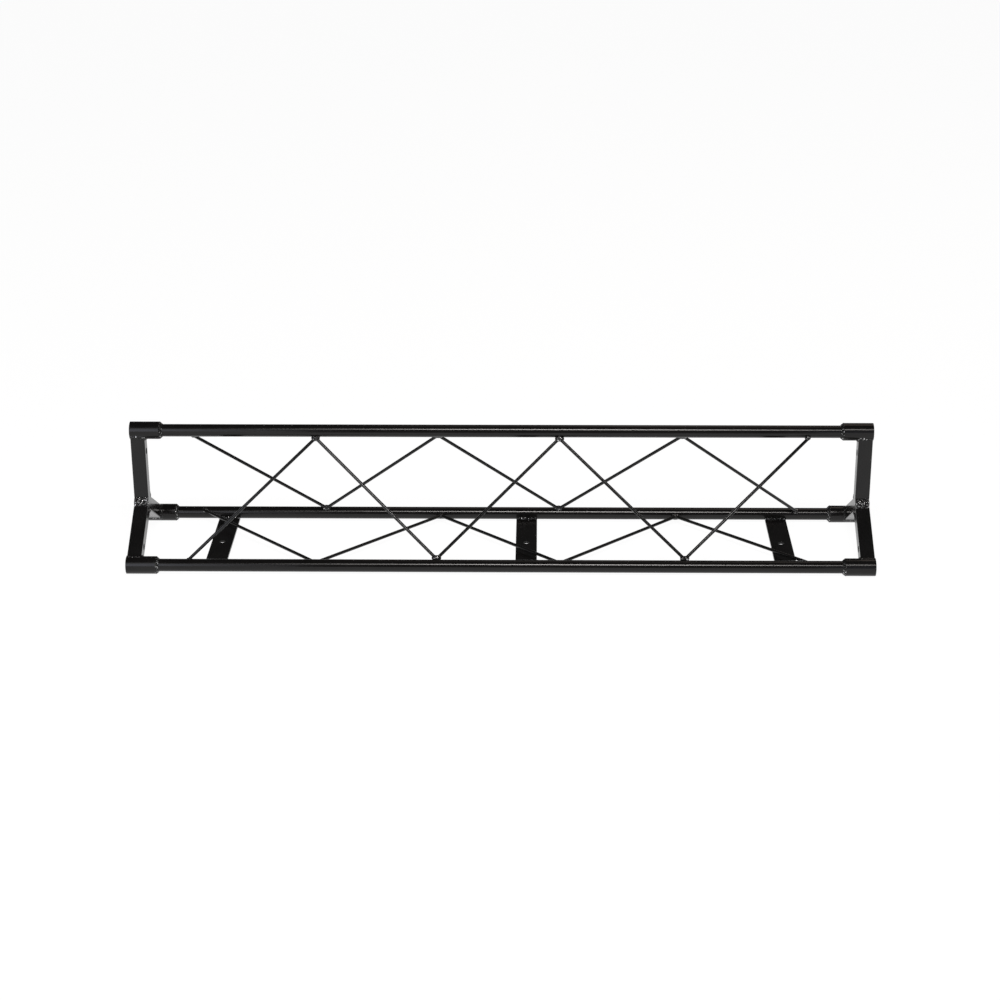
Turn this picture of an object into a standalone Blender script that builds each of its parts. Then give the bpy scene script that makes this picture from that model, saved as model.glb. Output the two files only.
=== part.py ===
"""Triangular lighting truss section, 1.5 m long, welded from steel tube, rod and flat bar.

Metres, +Z up. +X runs along the section. The section stands on the end sleeves of its two lower
chords, and the origin is the middle of that footprint.

Around the section, each chord is at an angle about the middle line: the top chord at 0 degrees,
the front one (-Y) at +120 and the rear one (+Y) at -120, counted from +Z towards -Y.
"""

import math

import bmesh
import bpy
from mathutils import Matrix, Vector

# Driving dimensions
LENGTH = 1.500
CHORD_SPACING = 0.274
GAP = 0.0003

CHORD_RADIUS = 0.0127
CHORD_WALL = 0.0015
CHORD_INSERT = 0.025

SLEEVE_RADIUS = 0.0178
SLEEVE_LENGTH = 0.060
SLEEVE_EDGE = 0.0010

ARM_WIDTH = 0.029
ARM_WALL = 0.002
ARM_CORNER = 0.0028
ARM_INSET = 0.001
BOLT_HOLE_RADIUS = 0.0065
BOLT_HOLE_FROM_CHORD = 0.045

ROD_RADIUS = 0.00325
ROD_BEND_RADIUS = 0.008
WEB_END_FROM_CHORD = 0.0160

PLATE_WIDTH = 0.0435
PLATE_THICKNESS = 0.005
PLATE_EDGE = 0.0005
PLATE_HOLE_RADIUS = 0.0065
PLATE_POSITIONS = {"left": -0.5755, "middle": 0.052, "right": 0.5755}

COLLAR_WELD_LENGTH = 0.005
COLLAR_WELD_DROP = 0.0012
HUB_WELD_LEG = 0.008
HUB_WELD_CREST = 0.62
NODE_WELD_SIZE = Vector((0.0088, 0.0050, 0.0056))
NODE_WELD_OUTWARD = 0.0010
END_WELD_SIZE = Vector((0.0058, 0.0040, 0.0048))
END_WELD_BACK = 0.0020
WELD_SEAT = 0.62
PLATE_WELD_RADIUS = 0.0032
PLATE_WELD_OVERHANG = 0.001
CUTTER_LENGTH = 0.1

ROUND_SEGMENTS = 48
HOLE_SEGMENTS = 24
ROD_SEGMENTS = 12
BEND_STEPS = 5
COPE_STEPS = 8
CORNER_STEPS = 3
WELD_SEGMENTS = 12
WELD_RINGS = 8
SHARP_ANGLE = math.radians(35)

# Worked out from the driving dimensions
CHORD_REACH = CHORD_SPACING / math.sqrt(3)
MIDDLE_HEIGHT = SLEEVE_RADIUS + CHORD_REACH / 2
SLEEVE_BORE = CHORD_RADIUS + GAP
SLEEVE_INNER_END = LENGTH / 2 - SLEEVE_LENGTH
ARM_CENTRE_X = LENGTH / 2 - ARM_INSET - ARM_WIDTH / 2
CHORD_ANGLES = {"top": 0.0, "front": math.radians(120), "rear": math.radians(-120)}
ARM_LEAN = math.radians(60)
END_SIGNS = {"left": -1, "right": 1}

# Each web is one rod bent to and fro between two chords, and welded by hand. These are its weld
# points along the section, starting on its first chord, how far the corners of its four bends
# would lie from the chord axes if they were sharp, and how many degrees its two free ends lie off
# the face, towards the inside of the truss.
WEBS = {"front": ("front", "top"), "rear": ("top", "rear"), "base": ("rear", "front")}
WEB_POINTS = {
    "front": (-0.6282, -0.3739, -0.1273, 0.1184, 0.3698, 0.6194),
    "rear": (-0.6242, -0.3701, -0.1269, 0.1193, 0.3674, 0.6190),
    "base": (-0.6293, -0.3715, -0.1290, 0.1203, 0.3654, 0.6230)}
WEB_BEND_DEPTHS = {
    "front": (0.0150, 0.0140, 0.0148, 0.0147),
    "rear": (0.0165, 0.0140, 0.0156, 0.0145),
    "base": (0.0150, 0.0150, 0.0165, 0.0168)}
WEB_END_TILTS = {"front": (45, -25), "rear": (0, 18), "base": (40, 3)}


def chord_axis(chord):
    """The point where a chord's axis crosses the middle plane of the section."""
    angle = CHORD_ANGLES[chord]
    return Vector((0, -CHORD_REACH * math.sin(angle), MIDDLE_HEIGHT + CHORD_REACH * math.cos(angle)))


def make_material(name, colour, roughness, metallic):
    material = bpy.data.materials.new(name)
    material.use_nodes = True
    shader = material.node_tree.nodes["Principled BSDF"]
    shader.inputs["Base Color"].default_value = (*colour, 1)
    shader.inputs["Roughness"].default_value = roughness
    shader.inputs["Metallic"].default_value = metallic
    return material


def mesh_from_bmesh(name, bm):
    """Close a bmesh into a smooth-shaded mesh whose faces point out."""
    bmesh.ops.recalc_face_normals(bm, faces=bm.faces)
    mesh = bpy.data.meshes.new(name)
    bm.to_mesh(mesh)
    bm.free()
    mesh.shade_smooth()
    mesh.set_sharp_from_angle(angle=SHARP_ANGLE)
    return mesh


def add_object(name, mesh, material, matrix=None):
    """Place a mesh as a named sub-part. Copies may share one mesh."""
    if not mesh.materials:
        mesh.materials.append(material)
    piece = bpy.data.objects.new(name, mesh)
    piece.matrix_world = matrix or Matrix()
    bpy.context.scene.collection.objects.link(piece)
    return piece


def cut_mesh(mesh, cutters):
    """Take cutter meshes out of a mesh, and return the result as a new mesh."""
    body = bpy.data.objects.new("cut_body", mesh)
    bpy.context.scene.collection.objects.link(body)
    tools = []
    for cutter in cutters:
        tool = bpy.data.objects.new("cutter", cutter)
        tool.hide_render = True
        tool.display_type = "WIRE"
        bpy.context.scene.collection.objects.link(tool)
        modifier = body.modifiers.new("cut", "BOOLEAN")
        modifier.operation = "DIFFERENCE"
        modifier.solver = "EXACT"
        modifier.object = tool
        tools.append(tool)
    graph = bpy.context.evaluated_depsgraph_get()
    bm = bmesh.new()
    bm.from_mesh(body.evaluated_get(graph).data)
    for temporary in [body, *tools]:
        bpy.data.objects.remove(temporary)
    return mesh_from_bmesh(mesh.name, bm)


def lathe_mesh(name, profile, segments=ROUND_SEGMENTS):
    """Turn a closed outline of (x, radius) points about the X axis."""
    bm = bmesh.new()
    rings = []
    for i in range(segments):
        angle = 2 * math.pi * i / segments
        ring = [bm.verts.new((x, r * math.cos(angle), r * math.sin(angle))) for x, r in profile]
        rings.append(ring)
    count = len(profile)
    for i in range(segments):
        ring, following = rings[i], rings[(i + 1) % segments]
        for j in range(count):
            k = (j + 1) % count
            bm.faces.new((ring[j], ring[k], following[k], following[j]))
    return mesh_from_bmesh(name, bm)


def sweep_mesh(name, path, normal, radius, segments=ROD_SEGMENTS):
    """Run a round section along a path that lies near the plane with the given normal."""
    bm = bmesh.new()
    rings = []
    last = len(path) - 1
    for i, point in enumerate(path):
        arriving = (path[i] - path[max(i - 1, 0)]).normalized()
        leaving = (path[min(i + 1, last)] - path[i]).normalized()
        along = (arriving + leaving).normalized()
        side = along.cross(normal).normalized()
        up = side.cross(along)
        widen = 1 / max(along.dot(leaving if i == 0 else arriving), 0.5)
        ring = []
        for j in range(segments):
            angle = 2 * math.pi * j / segments
            offset = side * (math.cos(angle) * widen) + up * math.sin(angle)
            ring.append(bm.verts.new(point + offset * radius))
        rings.append(ring)
    for ring, following in zip(rings, rings[1:]):
        for j in range(segments):
            k = (j + 1) % segments
            bm.faces.new((ring[j], ring[k], following[k], following[j]))
    bm.faces.new(rings[0])
    bm.faces.new(rings[-1])
    return mesh_from_bmesh(name, bm)


def cylinder_mesh(name, radius, length, centre, segments):
    """A plain cylinder along X, used for cutting."""
    bm = bmesh.new()
    turn = Matrix.Rotation(math.radians(90), 4, "Y")
    bmesh.ops.create_cone(
        bm, cap_ends=True, segments=segments, radius1=radius, radius2=radius, depth=length,
        matrix=Matrix.Translation(centre) @ turn)
    return mesh_from_bmesh(name, bm)


def box_mesh(name, size, centre, edge=0.0):
    """A box, with its edges broken where edge is more than zero."""
    bm = bmesh.new()
    bmesh.ops.create_cube(bm, size=1, matrix=Matrix.Translation(centre) @ Matrix.Diagonal((*size, 1)))
    if edge:
        bmesh.ops.bevel(bm, geom=bm.edges[:], offset=edge, segments=1, affect="EDGES")
    return mesh_from_bmesh(name, bm)


def make_chords(material):
    end = SLEEVE_INNER_END + CHORD_INSERT
    inner = CHORD_RADIUS - CHORD_WALL
    profile = [(-end, inner), (-end, CHORD_RADIUS), (end, CHORD_RADIUS), (end, inner)]
    mesh = lathe_mesh("chord", profile)
    for chord in CHORD_ANGLES:
        add_object(f"chord_{chord}", mesh, material, Matrix.Translation(chord_axis(chord)))


def make_sleeves(material):
    half = SLEEVE_LENGTH / 2
    outer, bore, edge = SLEEVE_RADIUS, SLEEVE_BORE, SLEEVE_EDGE
    profile = [
        (-half, bore), (-half, outer - edge), (-half + edge, outer),
        (half - edge, outer), (half, outer - edge), (half, bore)]
    mesh = lathe_mesh("sleeve", profile)
    for end, sign in END_SIGNS.items():
        for chord in CHORD_ANGLES:
            place = chord_axis(chord)
            place.x = sign * (LENGTH / 2 - half)
            add_object(f"sleeve_{end}_{chord}", mesh, material, Matrix.Translation(place))


def make_collar_welds(material):
    """Conical weld at the inner end of each sleeve, down onto its chord."""
    start = GAP
    finish = start + COLLAR_WELD_LENGTH
    top = SLEEVE_RADIUS - COLLAR_WELD_DROP
    bulge = (SLEEVE_BORE + top) / 2 + COLLAR_WELD_DROP / 2
    profile = [
        (start, SLEEVE_BORE), (start, top), ((start + finish) / 2, bulge),
        (finish, SLEEVE_BORE + GAP), (finish, SLEEVE_BORE)]
    mesh = lathe_mesh("collar_weld", profile)
    for end, sign in END_SIGNS.items():
        facing = Matrix.Rotation(math.pi if sign > 0 else 0.0, 4, "Z")
        for chord in CHORD_ANGLES:
            place = chord_axis(chord)
            place.x = sign * SLEEVE_INNER_END
            add_object(f"weld_collar_{end}_{chord}", mesh, material, Matrix.Translation(place) @ facing)


def arm_outline(half, corner, steps_across):
    """Rounded square in the arm's section: (along X, across), with points across its X sides."""
    points = []
    for quarter in range(4):
        centre_angle = math.radians(90 * quarter)
        flat = half - corner
        centre = Vector((flat, flat))
        centre.rotate(Matrix.Rotation(centre_angle, 2))
        for step in range(CORNER_STEPS + 1):
            angle = centre_angle + math.radians(90) * step / CORNER_STEPS
            points.append(centre + Vector((math.cos(angle), math.sin(angle))) * corner)
        if quarter in (1, 3):
            side = -1 if quarter == 1 else 1
            for step in range(1, steps_across):
                across = -side * flat * (1 - 2 * step / steps_across)
                points.append(Vector((side * half, across)))
    return points


def arm_mesh():
    """One spoke of an end frame: square tube, mitred at the hub and coped to the sleeve.

    It stands on its hub end along +Z, with its bolt hole along X.
    """
    outer = arm_outline(ARM_WIDTH / 2, ARM_CORNER, COPE_STEPS)
    inner = arm_outline(ARM_WIDTH / 2 - ARM_WALL, ARM_CORNER - ARM_WALL, COPE_STEPS)
    mitre = math.tan(ARM_LEAN)
    cope = SLEEVE_RADIUS + GAP
    bm = bmesh.new()
    loops = []
    for outline in (outer, inner):
        low = []
        high = []
        for along_x, across in outline:
            start = abs(across) / mitre + GAP
            finish = CHORD_REACH - math.sqrt(cope ** 2 - across ** 2)
            low.append(bm.verts.new((along_x, across, start)))
            high.append(bm.verts.new((along_x, across, finish)))
        loops.append((low, high))
    (outer_low, outer_high), (inner_low, inner_high) = loops
    count = len(outer)
    for i in range(count):
        j = (i + 1) % count
        bm.faces.new((outer_low[i], outer_low[j], outer_high[j], outer_high[i]))
        bm.faces.new((inner_low[i], inner_high[i], inner_high[j], inner_low[j]))
        bm.faces.new((outer_low[i], inner_low[i], inner_low[j], outer_low[j]))
        bm.faces.new((outer_high[i], outer_high[j], inner_high[j], inner_high[i]))
    tube = mesh_from_bmesh("arm", bm)
    hole_centre = Vector((0, 0, CHORD_REACH - BOLT_HOLE_FROM_CHORD))
    hole = cylinder_mesh("bolt_hole", BOLT_HOLE_RADIUS, 2 * ARM_WIDTH, hole_centre, HOLE_SEGMENTS)
    return cut_mesh(tube, [hole])


def hub_weld_mesh():
    """Fillet in the corner between two arms, whose sides lean away from +Z to the left and right."""
    corner = ARM_WIDTH / 2 / math.sin(ARM_LEAN) + 2 * GAP
    aside = HUB_WELD_LEG * math.sin(ARM_LEAN)
    upward = HUB_WELD_LEG * math.cos(ARM_LEAN)
    crest = HUB_WELD_LEG * HUB_WELD_CREST
    outline = [
        Vector((0, corner)),
        Vector((aside, corner + upward)),
        Vector((aside / 2, corner + crest)),
        Vector((-aside / 2, corner + crest)),
        Vector((-aside, corner + upward))]
    bm = bmesh.new()
    rows = []
    for x in (-ARM_WIDTH / 2, ARM_WIDTH / 2):
        rows.append([bm.verts.new((x, p.x, p.y)) for p in outline])
    for j in range(len(outline)):
        k = (j + 1) % len(outline)
        bm.faces.new((rows[0][j], rows[0][k], rows[1][k], rows[1][j]))
    bm.faces.new(rows[0])
    bm.faces.new(rows[1])
    return mesh_from_bmesh("hub_weld", bm)


def make_end_frames(arm_material, weld_material):
    """Three arms at each end, with a fillet weld in each corner of the hub."""
    arm = arm_mesh()
    fillet = hub_weld_mesh()
    for end, sign in END_SIGNS.items():
        hub = Matrix.Translation((sign * ARM_CENTRE_X, 0, MIDDLE_HEIGHT))
        for chord, angle in CHORD_ANGLES.items():
            turn = Matrix.Rotation(angle, 4, "X")
            add_object(f"arm_{end}_{chord}", arm, arm_material, hub @ turn)
        for face, (first, _) in WEBS.items():
            turn = Matrix.Rotation(CHORD_ANGLES[first] - ARM_LEAN, 4, "X")
            add_object(f"weld_hub_{end}_{face}", fillet, weld_material, hub @ turn)


def web_nodes(face):
    """Where one bent rod meets its two chords, in its face's own frame.

    X is along the section, Y runs from the first chord's axis to the second's, and Z points out of
    the truss.
    """
    ends = []
    for tilt in WEB_END_TILTS[face]:
        angle = math.radians(tilt)
        ends.append((WEB_END_FROM_CHORD * math.cos(angle), -WEB_END_FROM_CHORD * math.sin(angle)))
    bends = [(depth, 0.0) for depth in WEB_BEND_DEPTHS[face]]
    nodes = []
    for i, (y, z) in enumerate([ends[0], *bends, ends[1]]):
        if i % 2:
            y = CHORD_SPACING - y
        nodes.append(Vector((WEB_POINTS[face][i], y, z)))
    return nodes


def rounded_path(nodes, radius):
    """Replace each inner corner of a path by an arc."""
    path = [nodes[0]]
    for before, corner, after in zip(nodes, nodes[1:], nodes[2:]):
        back = (before - corner).normalized()
        on = (after - corner).normalized()
        half_angle = back.angle(on) / 2
        middle = (back + on).normalized()
        centre = corner + middle * (radius / math.sin(half_angle))
        start = corner + back * (radius / math.tan(half_angle)) - centre
        axis = back.cross(on)
        sweep = math.pi - 2 * half_angle
        for step in range(BEND_STEPS + 1):
            turn = Matrix.Rotation(-sweep * step / BEND_STEPS, 3, axis)
            path.append(centre + turn @ start)
    path.append(nodes[-1])
    return path


def face_frame(first, second):
    """The frame of one face of the truss: X along, Y from the first chord to the second."""
    start = chord_axis(first)
    across = (chord_axis(second) - start).normalized()
    along = Vector((1, 0, 0))
    out = along.cross(across)
    frame = Matrix((along, across, out)).transposed().to_4x4()
    return Matrix.Translation(start) @ frame


def node_weld_mesh(node, on_second, end_side, rod_space):
    """The weld metal round a place where the rod meets a chord.

    end_side is 0 at a bend, and -1 or 1 at the rod's first or last end.
    """
    size = END_WELD_SIZE if end_side else NODE_WELD_SIZE
    chord_y = CHORD_SPACING if on_second else 0.0
    seat = Vector((node.x, chord_y, 0))
    radial = Vector((0, node.y - chord_y, node.z)).normalized()
    centre = seat + radial * (CHORD_RADIUS + size.y * WELD_SEAT)
    if end_side:
        centre.x -= end_side * END_WELD_BACK
    else:
        centre.z += NODE_WELD_OUTWARD
    tilt = Matrix.Rotation(math.atan2(radial.z, radial.y), 4, "X")
    bm = bmesh.new()
    bmesh.ops.create_uvsphere(
        bm, u_segments=WELD_SEGMENTS, v_segments=WELD_RINGS, radius=1,
        matrix=Matrix.Translation(centre) @ tilt @ Matrix.Diagonal((*size, 1)))
    blob = mesh_from_bmesh("node_weld", bm)
    tube = cylinder_mesh("chord_space", CHORD_RADIUS + GAP, CUTTER_LENGTH, seat, ROUND_SEGMENTS)
    return cut_mesh(blob, [tube, rod_space])


def make_webs(rod_material, weld_material):
    out = Vector((0, 0, 1))
    for face, (first, second) in WEBS.items():
        frame = face_frame(first, second)
        nodes = web_nodes(face)
        path = rounded_path(nodes, ROD_BEND_RADIUS)
        rod = sweep_mesh("web", path, out, ROD_RADIUS)
        rod_space = sweep_mesh("rod_space", path, out, ROD_RADIUS + GAP)
        add_object(f"web_{face}", rod, rod_material, frame)
        end_sides = {0: -1, len(nodes) - 1: 1}
        for i, node in enumerate(nodes):
            weld = node_weld_mesh(node, i % 2 == 1, end_sides.get(i, 0), rod_space)
            add_object(f"weld_web_{face}_{i + 1}", weld, weld_material, frame)


def make_plates(plate_material, weld_material):
    """Flat bars across the base, flush with the chords' undersides, each with one hole."""
    top = -CHORD_RADIUS + PLATE_THICKNESS
    seat = math.sqrt(CHORD_RADIUS ** 2 - top ** 2)
    half_length = CHORD_SPACING / 2 - seat - GAP
    centre = Vector((0, 0, top - PLATE_THICKNESS / 2))
    size = (PLATE_WIDTH, 2 * half_length, PLATE_THICKNESS)
    bar = box_mesh("plate", size, centre, PLATE_EDGE)
    hole = cylinder_mesh("plate_hole", PLATE_HOLE_RADIUS, 4 * PLATE_THICKNESS, Vector(), HOLE_SEGMENTS)
    hole.transform(Matrix.Translation(centre) @ Matrix.Rotation(math.radians(90), 4, "Y"))
    plate = cut_mesh(bar, [hole])

    half_bead = PLATE_WIDTH / 2 + PLATE_WELD_OVERHANG
    path = [Vector((x * half_bead, half_length, top)) for x in (-1, -0.5, 0, 0.5, 1)]
    bead = sweep_mesh("plate_weld", path, Vector((0, 0, 1)), PLATE_WELD_RADIUS)
    clear_size = (PLATE_WIDTH + 2 * GAP, 2 * (half_length + GAP), PLATE_THICKNESS + 2 * GAP)
    clear_bar = box_mesh("plate_space", clear_size, centre)
    chord_centre = Vector((0, CHORD_SPACING / 2, 0))
    clear_chord = cylinder_mesh(
        "chord_space", CHORD_RADIUS + GAP, CUTTER_LENGTH, chord_centre, ROUND_SEGMENTS)
    bead = cut_mesh(bead, [clear_bar, clear_chord])

    for position, x in PLATE_POSITIONS.items():
        place = Matrix.Translation((x, 0, SLEEVE_RADIUS))
        add_object(f"plate_{position}", plate, plate_material, place)
        for chord, turn in (("rear", 0.0), ("front", math.pi)):
            facing = Matrix.Rotation(turn, 4, "Z")
            add_object(f"weld_plate_{position}_{chord}", bead, weld_material, place @ facing)


def main():
    for existing in list(bpy.data.objects):
        bpy.data.objects.remove(existing)
    tube_coat = make_material("black_tube_coat", (0.012, 0.012, 0.014), 0.34, 0.0)
    sleeve_coat = make_material("black_sleeve_coat", (0.013, 0.013, 0.014), 0.36, 0.0)
    arm_coat = make_material("black_arm_coat", (0.014, 0.014, 0.014), 0.30, 0.0)
    rod_coat = make_material("black_rod_coat", (0.016, 0.016, 0.016), 0.32, 0.0)
    plate_coat = make_material("black_plate_coat", (0.010, 0.010, 0.011), 0.38, 0.0)
    weld_coat = make_material("black_weld_coat", (0.018, 0.018, 0.018), 0.42, 0.0)
    make_chords(tube_coat)
    make_sleeves(sleeve_coat)
    make_collar_welds(weld_coat)
    make_end_frames(arm_coat, weld_coat)
    make_webs(rod_coat, weld_coat)
    make_plates(plate_coat, weld_coat)


main()
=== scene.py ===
import math
import random

import bmesh
import bpy
import numpy as np
from mathutils import Euler, Matrix, Vector, noise


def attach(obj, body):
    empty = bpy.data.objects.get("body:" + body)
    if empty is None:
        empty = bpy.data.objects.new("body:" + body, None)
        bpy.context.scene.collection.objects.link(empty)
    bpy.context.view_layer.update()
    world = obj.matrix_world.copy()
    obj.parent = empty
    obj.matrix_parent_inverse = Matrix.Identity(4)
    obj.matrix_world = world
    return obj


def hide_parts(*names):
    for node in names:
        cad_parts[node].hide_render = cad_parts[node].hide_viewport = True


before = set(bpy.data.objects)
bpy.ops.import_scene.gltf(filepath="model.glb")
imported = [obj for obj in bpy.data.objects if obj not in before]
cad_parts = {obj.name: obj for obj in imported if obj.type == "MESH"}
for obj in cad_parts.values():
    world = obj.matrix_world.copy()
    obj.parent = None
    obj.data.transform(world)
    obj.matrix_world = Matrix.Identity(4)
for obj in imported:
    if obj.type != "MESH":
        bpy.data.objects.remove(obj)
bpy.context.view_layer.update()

# Driving dimensions, the same as the CAD frame's, in metres
LENGTH = 1.500
CHORD_SPACING = 0.274
CHORD_RADIUS = 0.0127
CHORD_WALL = 0.0015
CHORD_INSERT = 0.025
SLEEVE_RADIUS = 0.0178
SLEEVE_BORE = 0.0130
SLEEVE_LENGTH = 0.060
ARM_WIDTH = 0.029
ARM_WALL = 0.002
ARM_CORNER = 0.0028
ARM_INSET = 0.001
BOLT_HOLE_RADIUS = 0.0065
BOLT_HOLE_FROM_CHORD = 0.045
ROD_RADIUS = 0.00325
ROD_BEND_RADIUS = 0.008
WEB_END_FROM_CHORD = 0.0160
PLATE_WIDTH = 0.0435
PLATE_THICKNESS = 0.005
PLATE_HOLE_RADIUS = 0.0065
PLATE_POSITIONS = {"left": -0.5755, "middle": 0.052, "right": 0.5755}

# Half sizes of the weld metal over a bend and at a rod's free end, how far each is shifted, and what
# part of its half depth its middle stands off the chord's surface
NODE_WELD_SIZE = Vector((0.0088, 0.0050, 0.0056))
NODE_WELD_OUTWARD = 0.0010
END_WELD_SIZE = Vector((0.0058, 0.0040, 0.0048))
END_WELD_BACK = 0.0020
WELD_SEAT = 0.62

CHORD_REACH = CHORD_SPACING / math.sqrt(3)
MIDDLE_HEIGHT = SLEEVE_RADIUS + CHORD_REACH / 2
SLEEVE_INNER_END = LENGTH / 2 - SLEEVE_LENGTH
ARM_CENTRE_X = LENGTH / 2 - ARM_INSET - ARM_WIDTH / 2
CHORD_ANGLES = {"top": 0.0, "front": math.radians(120), "rear": math.radians(-120)}
END_SIGNS = {"left": -1, "right": 1}
ARM_LEAN = math.radians(60)

# Each web's weld points along the section, starting on its first chord, how far the corners of its
# four bends would lie from the chord axes if they were sharp, and how many degrees its two free ends
# lie off the face, towards the inside of the truss
WEBS = {"front": ("front", "top"), "rear": ("top", "rear"), "base": ("rear", "front")}
WEB_POINTS = {
    "front": (-0.6282, -0.3739, -0.1273, 0.1184, 0.3698, 0.6194),
    "rear": (-0.6242, -0.3701, -0.1269, 0.1193, 0.3674, 0.6190),
    "base": (-0.6293, -0.3715, -0.1290, 0.1203, 0.3654, 0.6230)}
WEB_BEND_DEPTHS = {
    "front": (0.0150, 0.0140, 0.0148, 0.0147),
    "rear": (0.0165, 0.0140, 0.0156, 0.0145),
    "base": (0.0150, 0.0150, 0.0165, 0.0168)}
WEB_END_TILTS = {"front": (45, -25), "rear": (0, 18), "base": (40, 3)}

# Clearance between touching pieces, and the rounding of edges and hole rims
CONTACT_GAP = 0.0001
CHORD_EDGE = 0.0004
SLEEVE_EDGE = 0.0006
ARM_HOLE_RIM = 0.0004
PLATE_EDGE = 0.0008
PLATE_HOLE_RIM = 0.00025
ROD_EDGE = 0.0005

# Points round a tube, round a rod and along each bend of a rod
TUBE_SEGMENTS = 128
ROD_SEGMENTS = 32
ROD_BEND_STEPS = 14

# Weld beads: the size of each leg, the spacing of the ripples, and the first seed of each kind
COLLAR_LEG = 0.0056
COLLAR_PITCH = 0.0031
COLLAR_SEED = 11
SEAM_LEG_ARM = 0.0030
SEAM_LEG_ARM_OUTSIDE = 0.0012
SEAM_LEG_SLEEVE = 0.0034
SEAM_LEG_SLEEVE_OUTSIDE = 0.0008
SEAM_PITCH = 0.0025
SEAM_SEED = 31
HUB_LEG_FIRST = 0.0094
HUB_LEG_SECOND = 0.0118
HUB_PITCH = 0.0038
HUB_OVERHANG = 0.0004
HUB_SEED = 51
PLATE_LEG_PLATE = 0.0046
PLATE_LEG_CHORD = 0.0042
PLATE_PITCH = 0.0027
PLATE_OVERHANG = 0.0012
PLATE_SEED = 71
WEB_SEED = 101

# Angles in degrees above which an edge is shaded sharp
CREASE = 40
ROD_CREASE = 50
WELD_CREASE = 60

# The camera stands in front and looks down; its turns about X, Y and Z are in degrees
CAMERA_PLACE = Vector((0.0774, -4.3283, 1.8016 + MIDDLE_HEIGHT))
CAMERA_TURN = (67.4877, 0.2262, 0.9564)
CAMERA_LENS = 82.53
CAMERA_SENSOR = 36.0


# ---------------------------------------------------------------- mesh tools

def spoke_frame(chord, x=0.0):
    """Origin on the middle line at x; +Z points at the chord, +X along the section."""
    turn = Matrix.Rotation(CHORD_ANGLES[chord], 4, "X")
    return Matrix.Translation((x, 0, MIDDLE_HEIGHT)) @ turn


def chord_frame(chord, x=0.0):
    return spoke_frame(chord, x) @ Matrix.Translation((0, 0, CHORD_REACH))


def face_frame(first, second):
    """The frame of one face: X along, Y from the first chord to the second, Z out of the truss."""
    start = chord_frame(first).translation
    across = (chord_frame(second).translation - start).normalized()
    along = Vector((1, 0, 0))
    frame_3 = Matrix((along, across, along.cross(across))).transposed().to_4x4()
    return Matrix.Translation(start) @ frame_3


def filleted(corners, steps=6):
    """Closed outline with each corner (a, b, radius) replaced by an arc."""
    outline = []
    for i, (a, b, radius) in enumerate(corners):
        corner = Vector((a, b))
        back = (Vector(corners[i - 1][:2]) - corner).normalized()
        on = (Vector(corners[(i + 1) % len(corners)][:2]) - corner).normalized()
        half = back.angle(on) / 2
        centre = corner + (back + on).normalized() * (radius / math.sin(half))
        start = corner + back * (radius / math.tan(half)) - centre
        end = corner + on * (radius / math.tan(half)) - centre
        sweep = math.pi - 2 * half
        for k in range(steps + 1):
            f = k / steps
            turned = (start * math.sin((1 - f) * sweep) + end * math.sin(f * sweep)) / math.sin(sweep)
            outline.append(centre + turned)
    return outline


def supported(outline, step):
    """The same closed outline with extra points near the ends of its long sides, to keep shading flat."""
    points = []
    for i, start in enumerate(outline):
        end = outline[(i + 1) % len(outline)]
        length = (end - start).length
        points.append(start)
        if length > 4 * step:
            points.append(start.lerp(end, step / length))
            points.append(end.lerp(start, step / length))
    return points


def skin(rings, closed=False):
    """Vertices and faces over a stack of equal rings of points; open stacks get end caps."""
    rings = np.asarray(rings, float)
    count, around = rings.shape[:2]
    index = np.arange(count * around).reshape(count, around)
    beside = np.roll(index, -1, axis=1)
    last = count if closed else count - 1
    following, following_beside = np.roll(index, -1, axis=0), np.roll(beside, -1, axis=0)
    quads = np.stack([index, beside, following_beside, following], -1)[:last]
    faces = quads.reshape(-1, 4).tolist()
    vertices = rings.reshape(-1, 3).tolist()
    if not closed:
        for row, ring in ((index[0], rings[0]), (index[-1], rings[-1])):
            centre = len(vertices)
            vertices.append(ring.mean(0).tolist())
            for j in range(around):
                faces.append((int(row[j]), int(row[(j + 1) % around]), centre))
    return vertices, faces


def mesh_of(name, vertices, faces, matrix=None, crease=CREASE):
    """A smooth-shaded mesh with outward faces, moved by the matrix."""
    bm = bmesh.new()
    made = [bm.verts.new(v) for v in vertices]
    for face in faces:
        bm.faces.new([made[i] for i in face])
    if matrix is not None:
        bm.transform(matrix)
    bmesh.ops.recalc_face_normals(bm, faces=bm.faces)
    mesh = bpy.data.meshes.new(name)
    bm.to_mesh(mesh)
    bm.free()
    mesh.shade_smooth()
    mesh.set_sharp_from_angle(angle=math.radians(crease))
    return mesh


def add_piece(name, mesh, material, nodes=()):
    """Show a mesh as a piece of the truss that stands for the named CAD nodes."""
    mesh.materials.clear()
    mesh.materials.append(material)
    piece = bpy.data.objects.new(name, mesh)
    bpy.context.scene.collection.objects.link(piece)
    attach(piece, "root")
    if nodes:
        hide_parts(*nodes)
    return piece


def flat_shading(piece):
    """Let large flat faces set the shading where they meet small rounded edges."""
    modifier = piece.modifiers.new("even", "WEIGHTED_NORMAL")
    modifier.weight = 80
    modifier.keep_sharp = True


def circle(x, radius, segments):
    """Points round the X axis."""
    angles = [2 * math.pi * i / segments for i in range(segments)]
    return [(x, radius * math.cos(angle), radius * math.sin(angle)) for angle in angles]


def lathe(profile, segments):
    """A body round the X axis from a closed outline of (x, radius)."""
    lines = [circle(x, radius, segments) for x, radius in profile]
    return skin(list(zip(*lines)), closed=True)


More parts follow.
